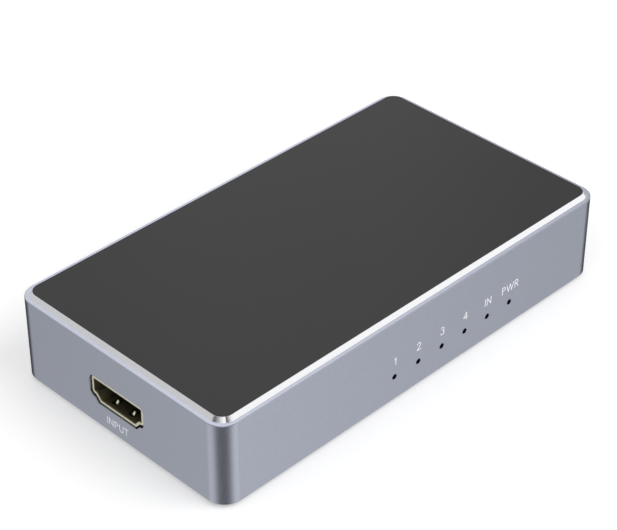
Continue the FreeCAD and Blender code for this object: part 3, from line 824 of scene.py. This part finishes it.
def cross_screw(x, y):
    """Round-head screw seen from below, with a cross recess in its head."""
    seat = screw_low_z + screw_head_height
    head = soft_rim(screw_head_radius, screw_low_z, screw_soft, screw_soft_steps)
    shank = [(screw_head_radius, seat), (screw_radius, seat), (screw_radius, screw_top_z)]
    screw = turned([(screw_head_radius - 2 * screw_soft, screw_low_z)] + head + shank, screw_sides)
    for turn in (0, 90):
        screw = carved(screw, recess_arm(turn))
    return moved(screw, Matrix.Translation((x, y, 0)))


def cross_screws():
    """The four screws of the cover."""
    screws = together([cross_screw(x, y) for x, y in screw_places])
    return piece("cross_screws", screws, [finish["zinc_plated_steel"]],
                 ["cover_screws"])


# Legends

def arc(cx, cy, rx, ry, start, end, steps=10):
    """Points of a stroke's round part, angles in degrees."""
    angles = [math.radians(start + (end - start) * k / steps) for k in range(steps + 1)]
    return [(cx + rx * math.cos(a), cy + ry * math.sin(a)) for a in angles]


def glyphs():
    """Strokes and width of each character, in parts of the capital height."""
    bowl = arc(0.32, 0.76, 0.24, 0.24, 90, -90, 8)
    return {
        "1": (0.42, [[(0.1, 0.8), (0.32, 1.0), (0.32, 0.0)]]),
        "2": (0.64, [arc(0.31, 0.74, 0.25, 0.26, 165, -35) + [(0.06, 0.0), (0.6, 0.0)]]),
        "3": (0.62, [arc(0.29, 0.76, 0.23, 0.24, 150, -80) + arc(0.29, 0.27, 0.26, 0.27, 80, -150)]),
        "4": (0.68, [[(0.48, 0.0), (0.48, 1.0), (0.04, 0.3), (0.66, 0.3)]]),
        "I": (0.2, [[(0.1, 0.0), (0.1, 1.0)]]),
        "N": (0.8, [[(0.1, 0.0), (0.1, 1.0), (0.7, 0.0), (0.7, 1.0)]]),
        "P": (0.66, [[(0.1, 0.0), (0.1, 1.0)] + bowl + [(0.1, 0.52)]]),
        "W": (1.16, [[(0.04, 1.0), (0.32, 0.0), (0.58, 1.0), (0.84, 0.0), (1.12, 1.0)]]),
        "R": (0.7, [[(0.1, 0.0), (0.1, 1.0)] + bowl + [(0.1, 0.52)], [(0.3, 0.52), (0.6, 0.0)]]),
        "U": (0.76, [[(0.1, 1.0), (0.1, 0.3)] + arc(0.38, 0.28, 0.28, 0.28, 180, 360) + [(0.66, 1.0)]]),
        "T": (0.66, [[(0.04, 1.0), (0.62, 1.0)], [(0.33, 1.0), (0.33, 0.0)]]),
    }


def smooth_runs(line):
    """Parts of a stroke between its sharp corners."""
    runs = [[line[0]]]
    for i in range(1, len(line)):
        runs[-1].append(line[i])
        if i < len(line) - 1:
            here = Vector(line[i])
            bend = (here - Vector(line[i - 1])).angle(Vector(line[i + 1]) - here)
            if bend > math.radians(legend_bend):
                runs.append([line[i]])
    return runs


def ribbon(line, proud):
    """Flat ribbon of ink with round ends along a smooth run of points."""
    points = [Vector(p) for p in line]
    half = legend_stroke / 2
    sides = ([], [])
    for i, point in enumerate(points):
        back = (point - points[i - 1]).normalized() if i else (points[1] - point).normalized()
        ahead = (points[i + 1] - point).normalized() if i < len(points) - 1 else back
        across = Vector((-(back + ahead).y, (back + ahead).x)).normalized()
        reach = half / across.dot(Vector((-back.y, back.x)))
        sides[0].append(point + across * reach)
        sides[1].append(point - across * reach)
    turns = [Matrix.Rotation(-math.pi * k / legend_cap_steps, 2) for k in range(1, legend_cap_steps)]
    caps = []
    for centre, edge in ((points[-1], sides[0][-1]), (points[0], sides[1][0])):
        caps.append([centre + turn @ (edge - centre) for turn in turns])
    outline = sides[0] + caps[0] + sides[1][::-1] + caps[1]
    return skin([[(p.x, p.y, z) for p in outline] for z in (-legend_proud, proud)])


def legend(name, text, place, turn, height, spread):
    """Printed legend: thin flat strokes that stand just proud of an upright face."""
    gap = legend_gap * height
    left = 0.0
    ribbons = []
    for character in text:
        width, lines = glyphs()[character]
        for line in lines:
            points = [(left + a * height * spread, (b - 0.5) * height) for a, b in line]
            for run in smooth_runs(points):
                ribbons.append(ribbon(run, legend_proud + legend_layer * len(ribbons)))
        left += width * height * spread + gap
    centre = Matrix.Translation((-(left - gap) / 2, 0, 0))
    upright = Matrix.Rotation(math.radians(90), 4, "X")
    facing = Matrix.Rotation(math.radians(turn), 4, "Z")
    ink = moved(together(ribbons), Matrix.Translation(place) @ facing @ upright @ centre)
    return piece(name, ink, [finish["legend_ink"]])


def legends():
    """Numbers and plain function words by the lamps and sockets."""
    for name, text, x in zip(lamp_names, ("1", "2", "3", "4", "IN", "PWR"), lamp_places):
        place = Vector((x, -half_width, front_legend_z))
        legend("legend_" + name, text, place, 0, front_legend_height, front_legend_spread)
    place = Vector((-half_length, end_legend_y, end_legend_z))
    legend("legend_input", "INPUT", place, -90, end_legend_height, end_legend_spread)
    for i, mouth in enumerate(output_mouths):
        place = Vector((mouth.x, half_width, back_legend_z))
        legend("legend_socket_%d" % (i + 1), str(i + 1), place, 180, front_legend_height,
               front_legend_spread)


# Finish of the CAD pieces that stay as they are

def dress_frame():
    """Gives each CAD piece the finish of its own material slot."""
    for part in frame["record"]["subparts"]:
        node = frame["nodes"][part["node"]]
        for i in range(len(node.data.materials)):
            node.material_slots[i].material = finish[part["material_slot"]]


def soften_edges(node, width):
    """Breaks the sharp edges of a CAD piece by a small round, without touching its mesh."""
    thing = frame["nodes"][node]
    weld = thing.modifiers.new("joined_faces", "WELD")
    weld.merge_threshold = weld_reach * MM
    bevel = thing.modifiers.new("soft_edges", "BEVEL")
    bevel.width = width * MM
    bevel.segments = soft_edge_steps
    bevel.limit_method = "ANGLE"
    bevel.angle_limit = math.radians(soft_edge_angle)
    bevel.harden_normals = True


# Studio

def floor():
    """Pale paper floor: white to the camera, and it keeps the object's shadow."""
    bm = bmesh.new()
    bmesh.ops.create_grid(bm, x_segments=floor_squares, y_segments=floor_squares, size=floor_reach)
    mesh = bpy.data.meshes.new("floor")
    bm.to_mesh(mesh)
    bm.free()
    material = bpy.data.materials.new("floor_paper")
    material.use_nodes = True
    tree = material.node_tree
    tree.nodes.remove(tree.nodes["Principled BSDF"])
    paper = add_node(tree, "ShaderNodeBsdfDiffuse", {"Color": linear(floor_colour)})
    seen = add_node(tree, "ShaderNodeLightPath")
    lift = maths(tree, "MULTIPLY", seen.outputs["Is Camera Ray"], floor_glow)
    glow = add_node(tree, "ShaderNodeEmission", {}, {"Strength": lift})
    both = add_node(tree, "ShaderNodeAddShader", {},
                    {0: paper.outputs["BSDF"], 1: glow.outputs["Emission"]})
    tree.links.new(both.outputs["Shader"], tree.nodes["Material Output"].inputs["Surface"])
    mesh.materials.append(material)
    thing = bpy.data.objects.new("floor", mesh)
    bpy.context.scene.collection.objects.link(thing)
    thing.visible_glossy = False
    thing.location.z = -floor_drop * MM


def levels(tree, value, stops):
    """Soft curve of brightness over a value from -1 to 1; stops are (value, brightness) pairs."""
    low, high = -1.0, 1.0
    place = add_node(tree, "ShaderNodeMapRange", {"From Min": low, "From Max": high}, {"Value": value})
    ramp = add_node(tree, "ShaderNodeValToRGB", {}, {"Fac": place.outputs["Result"]})
    ramp.color_ramp.interpolation = "EASE"
    elements = ramp.color_ramp.elements
    while len(elements) < len(stops):
        elements.new(0.5)
    for i, (stop, brightness) in enumerate(stops):
        elements[i].position = (stop - low) / (high - low)
        elements[i].color = (brightness, brightness, brightness, 1.0)
    return ramp.outputs["Color"]


def maths(tree, operation, first, second):
    """Result of one sum on two values, each a number or a socket."""
    node = add_node(tree, "ShaderNodeMath", {"operation": operation})
    for i, value in enumerate((first, second)):
        if isinstance(value, (int, float)):
            node.inputs[i].default_value = value
        else:
            tree.links.new(value, node.inputs[i])
    return node.outputs["Value"]


def mixed(tree, share, first, second):
    """Colour between two, each a colour or a socket; a share of 1 gives the second."""
    # A mix of colours takes them at sockets 6 and 7 and gives its result at 2
    colour_sockets, result_socket = (6, 7), 2
    node = add_node(tree, "ShaderNodeMix", {"data_type": "RGBA"}, {0: share})
    for i, value in zip(colour_sockets, (first, second)):
        if isinstance(value, tuple):
            node.inputs[i].default_value = value
        else:
            tree.links.new(value, node.inputs[i])
    return node.outputs[result_socket]


def studio_world():
    """White room for the camera. The metal sees its walls of light with the gaps between them."""
    world = bpy.data.worlds.new("studio")
    bpy.context.scene.world = world
    world.use_nodes = True
    tree = world.node_tree
    place = add_node(tree, "ShaderNodeTexCoord").outputs["Generated"]
    yaw = math.radians(camera_yaw)
    away = (math.sin(yaw), math.cos(yaw), 0.0)
    across = (math.cos(yaw), -math.sin(yaw), 0.0)
    depth, side = [add_node(tree, "ShaderNodeVectorMath", {"operation": "DOT_PRODUCT", 1: axis},
                            {0: place}).outputs["Value"] for axis in (away, across)]
    height = add_node(tree, "ShaderNodeSeparateXYZ", {}, {0: place}).outputs["Z"]
    low_gaps = maths(tree, "MAXIMUM", levels(tree, depth, low_depth_levels),
                     levels(tree, height, low_height_levels))
    low_room = maths(tree, "MULTIPLY", low_gaps, levels(tree, side, low_side_levels))
    high_front = levels(tree, side, high_side_levels)
    high_back = maths(tree, "MULTIPLY", levels(tree, side, high_back_levels),
                      levels(tree, height, high_height_levels))
    high_room = mixed(tree, levels(tree, depth, front_share), high_back, high_front)
    room = mixed(tree, levels(tree, height, high_share), low_room, high_room)
    seen = add_node(tree, "ShaderNodeLightPath").outputs
    plain = maths(tree, "SUBTRACT", 1.0, seen["Is Glossy Ray"])
    colour = mixed(tree, plain, room, (1.0, 1.0, 1.0, 1.0))
    strength = maths(tree, "MAXIMUM", seen["Is Camera Ray"], seen["Is Transmission Ray"])
    strength = maths(tree, "MAXIMUM", strength, seen["Is Glossy Ray"])
    strength = maths(tree, "MAXIMUM", strength, room_level)
    tree.links.new(colour, tree.nodes["Background"].inputs["Color"])
    tree.links.new(strength, tree.nodes["Background"].inputs["Strength"])


def lamp(name, azimuth, elevation, strength, softness):
    """Very soft distant lamp; azimuth 0 is behind the object and 90 to its right, as seen in front."""
    data = bpy.data.lights.new(name, "SUN")
    data.energy = strength
    data.angle = math.radians(softness)
    thing = bpy.data.objects.new(name, data)
    thing.rotation_euler = (math.radians(90 - elevation), 0.0, math.radians(180 - azimuth))
    thing.visible_glossy = False
    bpy.context.scene.collection.objects.link(thing)


def camera():
    """Camera at the photograph's place."""
    data = bpy.data.cameras.new("camera")
    data.sensor_width = sensor_width
    data.sensor_fit = "HORIZONTAL"
    data.lens = focal_pixels / image_width * sensor_width
    data.clip_start = camera_near * MM
    thing = bpy.data.objects.new("camera", data)
    turn = (Matrix.Rotation(math.radians(-camera_yaw), 4, "Z")
            @ Matrix.Rotation(math.radians(90 - camera_pitch), 4, "X")
            @ Matrix.Rotation(math.radians(camera_roll), 4, "Z"))
    thing.matrix_world = Matrix.Translation(camera_place * MM) @ turn
    bpy.context.scene.collection.objects.link(thing)
    bpy.context.scene.camera = thing


dress_frame()
for soft_node, soft_width in softened:
    soften_edges(soft_node, soft_width)
housing()
glossy_panel()
socket_shell("input", facing_left(input_mouth))
for output_name, output_mouth in zip(output_names, output_mouths):
    socket_shell(output_name, facing_back(output_mouth))
for foot_name in foot_names:
    foot(foot_name)
cross_screws()
legends()
floor()
studio_world()
lamp("key_lamp", **key_lamp)
lamp("fill_lamp", **fill_lamp)
camera()
bpy.context.scene.view_settings.view_transform = "Standard"
